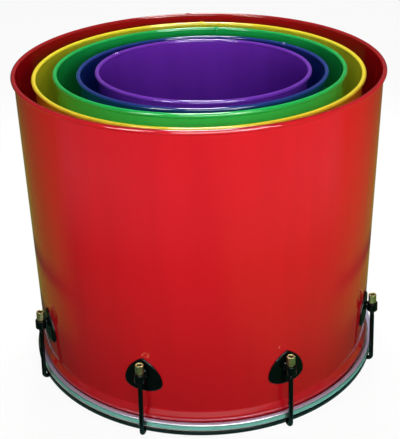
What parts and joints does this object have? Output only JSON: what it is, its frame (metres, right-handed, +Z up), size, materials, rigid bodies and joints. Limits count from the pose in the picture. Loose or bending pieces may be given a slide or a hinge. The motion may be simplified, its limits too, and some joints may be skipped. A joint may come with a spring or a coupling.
{
  "type": "nest of drums",
  "caption": "Nest of open-bottomed steel drums standing head down, one inside another, each head held by a counterhoop and J hooks; the inner drums lift out.",
  "frame": {"origin": "centre of the outer drum's head, on the surface it stands on", "axes": "+Z up along the outer drum's axis, towards the open ends; -Y is the side that faces the picture's camera, +X to its right"},
  "size_m": [0.48, 0.48, 0.4057],
  "materials": {
    "red_enamel": "gloss",
    "yellow_enamel": "gloss",
    "green_enamel": "gloss",
    "blue_enamel": "gloss",
    "purple_enamel": "gloss",
    "polished_aluminium": "polished",
    "head_film": "matte",
    "black_lacquer": "gloss",
    "yellow_zinc": "bright yellow zinc plating on steel"
  },
  "bodies": {
    "red_drum": {"red_shell": "red_enamel", "red_head": "head_film", "red_flesh_hoop": "polished_aluminium", "red_counterhoop": "black_lacquer", "red_lug_1": "black_lacquer", "red_lug_2": "black_lacquer", "red_lug_3": "black_lacquer", "red_lug_4": "black_lacquer", "red_lug_5": "black_lacquer", "red_lug_6": "black_lacquer", "red_lug_7": "black_lacquer", "red_lug_8": "black_lacquer"},
    "yellow_drum": {"yellow_shell": "yellow_enamel", "yellow_head": "head_film", "yellow_flesh_hoop": "polished_aluminium", "yellow_counterhoop": "black_lacquer"},
    "green_drum": {"green_shell": "green_enamel", "green_head": "head_film", "green_flesh_hoop": "polished_aluminium", "green_counterhoop": "black_lacquer"},
    "blue_drum": {"blue_shell": "blue_enamel", "blue_head": "head_film", "blue_flesh_hoop": "polished_aluminium", "blue_counterhoop": "black_lacquer"},
    "purple_drum": {"purple_shell": "purple_enamel", "purple_head": "head_film", "purple_flesh_hoop": "polished_aluminium", "purple_counterhoop": "black_lacquer"},
    "red_nut_1": {"red_nut_1": "yellow_zinc"},
    "red_hook_1": {"red_tension_hook_1": "black_lacquer"},
    "red_nut_2": {"red_nut_2": "yellow_zinc"},
    "red_hook_2": {"red_tension_hook_2": "black_lacquer"},
    "red_nut_3": {"red_nut_3": "yellow_zinc"},
    "red_hook_3": {"red_tension_hook_3": "black_lacquer"},
    "red_nut_4": {"red_nut_4": "yellow_zinc"},
    "red_hook_4": {"red_tension_hook_4": "black_lacquer"},
    "red_nut_5": {"red_nut_5": "yellow_zinc"},
    "red_hook_5": {"red_tension_hook_5": "black_lacquer"},
    "red_nut_6": {"red_nut_6": "yellow_zinc"},
    "red_hook_6": {"red_tension_hook_6": "black_lacquer"},
    "red_nut_7": {"red_nut_7": "yellow_zinc"},
    "red_hook_7": {"red_tension_hook_7": "black_lacquer"},
    "red_nut_8": {"red_nut_8": "yellow_zinc"},
    "red_hook_8": {"red_tension_hook_8": "black_lacquer"}
  },
  "joints": [
    {"name": "yellow_lift", "type": "slide", "parent": "red_drum", "child": "yellow_drum", "axis": [0, 0, 1], "range_m": [0, 0.42]},
    {"name": "green_lift", "type": "slide", "parent": "yellow_drum", "child": "green_drum", "axis": [0, 0, 1], "range_m": [0, 0.41]},
    {"name": "blue_lift", "type": "slide", "parent": "green_drum", "child": "blue_drum", "axis": [0.0003, 0.0199, 0.9998], "range_m": [0, 0.41]},
    {"name": "purple_lift", "type": "slide", "parent": "blue_drum", "child": "purple_drum", "axis": [0.0007, 0.0275, 0.9996], "range_m": [0, 0.4]},
    {"name": "nut_1_turn", "type": "hinge", "parent": "red_drum", "child": "red_nut_1", "pos_m": [-0.21581, -0.10386, 0.0941], "axis": [0.0448, 0.0216, 0.9988], "range_deg": [0, 2160]},
    {"name": "hook_1_slide", "type": "slide", "parent": "red_drum", "child": "red_hook_1", "axis": [-0.0448, -0.0216, -0.9988], "range_m": [0, 0.006]},
    {"name": "nut_2_turn", "type": "hinge", "parent": "red_drum", "child": "red_nut_2", "pos_m": [-0.07916, -0.22604, 0.0941], "axis": [0.0164, 0.0469, 0.9988], "range_deg": [0, 2160]},
    {"name": "hook_2_slide", "type": "slide", "parent": "red_drum", "child": "red_hook_2", "axis": [-0.0164, -0.0469, -0.9988], "range_m": [0, 0.006]},
    {"name": "nut_3_turn", "type": "hinge", "parent": "red_drum", "child": "red_nut_3", "pos_m": [0.10386, -0.21581, 0.0941], "axis": [-0.0216, 0.0448, 0.9988], "range_deg": [0, 2160]},
    {"name": "hook_3_slide", "type": "slide", "parent": "red_drum", "child": "red_hook_3", "axis": [0.0216, -0.0448, -0.9988], "range_m": [0, 0.006]},
    {"name": "nut_4_turn", "type": "hinge", "parent": "red_drum", "child": "red_nut_4", "pos_m": [0.22604, -0.07916, 0.0941], "axis": [-0.0469, 0.0164, 0.9988], "range_deg": [0, 2160]},
    {"name": "hook_4_slide", "type": "slide", "parent": "red_drum", "child": "red_hook_4", "axis": [0.0469, -0.0164, -0.9988], "range_m": [0, 0.006]},
    {"name": "nut_5_turn", "type": "hinge", "parent": "red_drum", "child": "red_nut_5", "pos_m": [0.21581, 0.10386, 0.0941], "axis": [-0.0448, -0.0216, 0.9988], "range_deg": [0, 2160]},
    {"name": "hook_5_slide", "type": "slide", "parent": "red_drum", "child": "red_hook_5", "axis": [0.0448, 0.0216, -0.9988], "range_m": [0, 0.006]},
    {"name": "nut_6_turn", "type": "hinge", "parent": "red_drum", "child": "red_nut_6", "pos_m": [0.07916, 0.22604, 0.0941], "axis": [-0.0164, -0.0469, 0.9988], "range_deg": [0, 2160]},
    {"name": "hook_6_slide", "type": "slide", "parent": "red_drum", "child": "red_hook_6", "axis": [0.0164, 0.0469, -0.9988], "range_m": [0, 0.006]},
    {"name": "nut_7_turn", "type": "hinge", "parent": "red_drum", "child": "red_nut_7", "pos_m": [-0.10386, 0.21581, 0.0941], "axis": [0.0216, -0.0448, 0.9988], "range_deg": [0, 2160]},
    {"name": "hook_7_slide", "type": "slide", "parent": "red_drum", "child": "red_hook_7", "axis": [-0.0216, 0.0448, -0.9988], "range_m": [0, 0.006]},
    {"name": "nut_8_turn", "type": "hinge", "parent": "red_drum", "child": "red_nut_8", "pos_m": [-0.22604, 0.07916, 0.0941], "axis": [0.0469, -0.0164, 0.9988], "range_deg": [0, 2160]},
    {"name": "hook_8_slide", "type": "slide", "parent": "red_drum", "child": "red_hook_8", "axis": [-0.0469, 0.0164, -0.9988], "range_m": [0, 0.006]}
  ],
  "couplings": [
    {"joint": "nut_1_turn", "follows": "hook_1_slide", "rad_per_m": 6283.2},
    {"joint": "nut_2_turn", "follows": "hook_2_slide", "rad_per_m": 6283.2},
    {"joint": "nut_3_turn", "follows": "hook_3_slide", "rad_per_m": 6283.2},
    {"joint": "nut_4_turn", "follows": "hook_4_slide", "rad_per_m": 6283.2},
    {"joint": "nut_5_turn", "follows": "hook_5_slide", "rad_per_m": 6283.2},
    {"joint": "nut_6_turn", "follows": "hook_6_slide", "rad_per_m": 6283.2},
    {"joint": "nut_7_turn", "follows": "hook_7_slide", "rad_per_m": 6283.2},
    {"joint": "nut_8_turn", "follows": "hook_8_slide", "rad_per_m": 6283.2}
  ]
}
